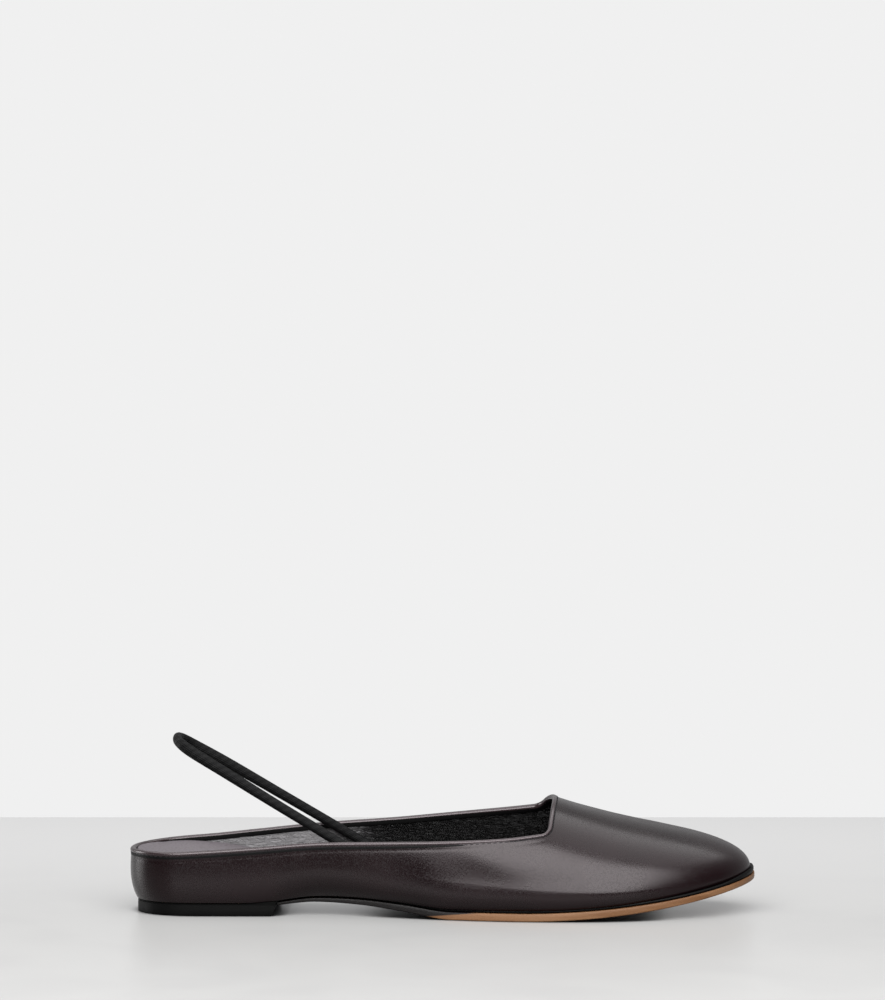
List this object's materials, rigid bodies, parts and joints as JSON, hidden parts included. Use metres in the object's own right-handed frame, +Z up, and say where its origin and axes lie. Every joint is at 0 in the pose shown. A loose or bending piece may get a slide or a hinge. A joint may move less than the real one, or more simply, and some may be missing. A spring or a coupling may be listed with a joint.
{
  "type": "sling back flat shoe",
  "caption": "Low flat shoe for the right foot with a squared throat, a hollow leather upper, a covered wedge heel and an elastic sling loop behind the heel.",
  "frame": {"origin": "centre of the whole shoe's box, on the floor plane under lift and sole", "axes": "+X from heel to toe, +Y toward the inner side of the foot, +Z up"},
  "size_m": [0.25, 0.0766, 0.0701],
  "materials": {
    "upper_leather": "smooth dark burgundy brown calf, satin",
    "binding_leather": "same leather, rolled thin over the edge",
    "sock_leather": "mauve brown lining leather, matt",
    "wedge_core": "light core, covered on all sides",
    "lift_rubber": "black rubber, matt",
    "sole_leather": "natural tan sole leather, waxed edge",
    "rand_edge": "black painted edge",
    "strap_elastic": "black covered elastic"
  },
  "bodies": {
    "root": {"upper": "upper_leather", "collar_binding": "binding_leather", "insole": "sock_leather", "heel_wedge": "wedge_core", "heel_lift": "lift_rubber", "outsole": "sole_leather", "rand": "rand_edge", "sling_strap": "strap_elastic"}
  },
  "joints": []
}
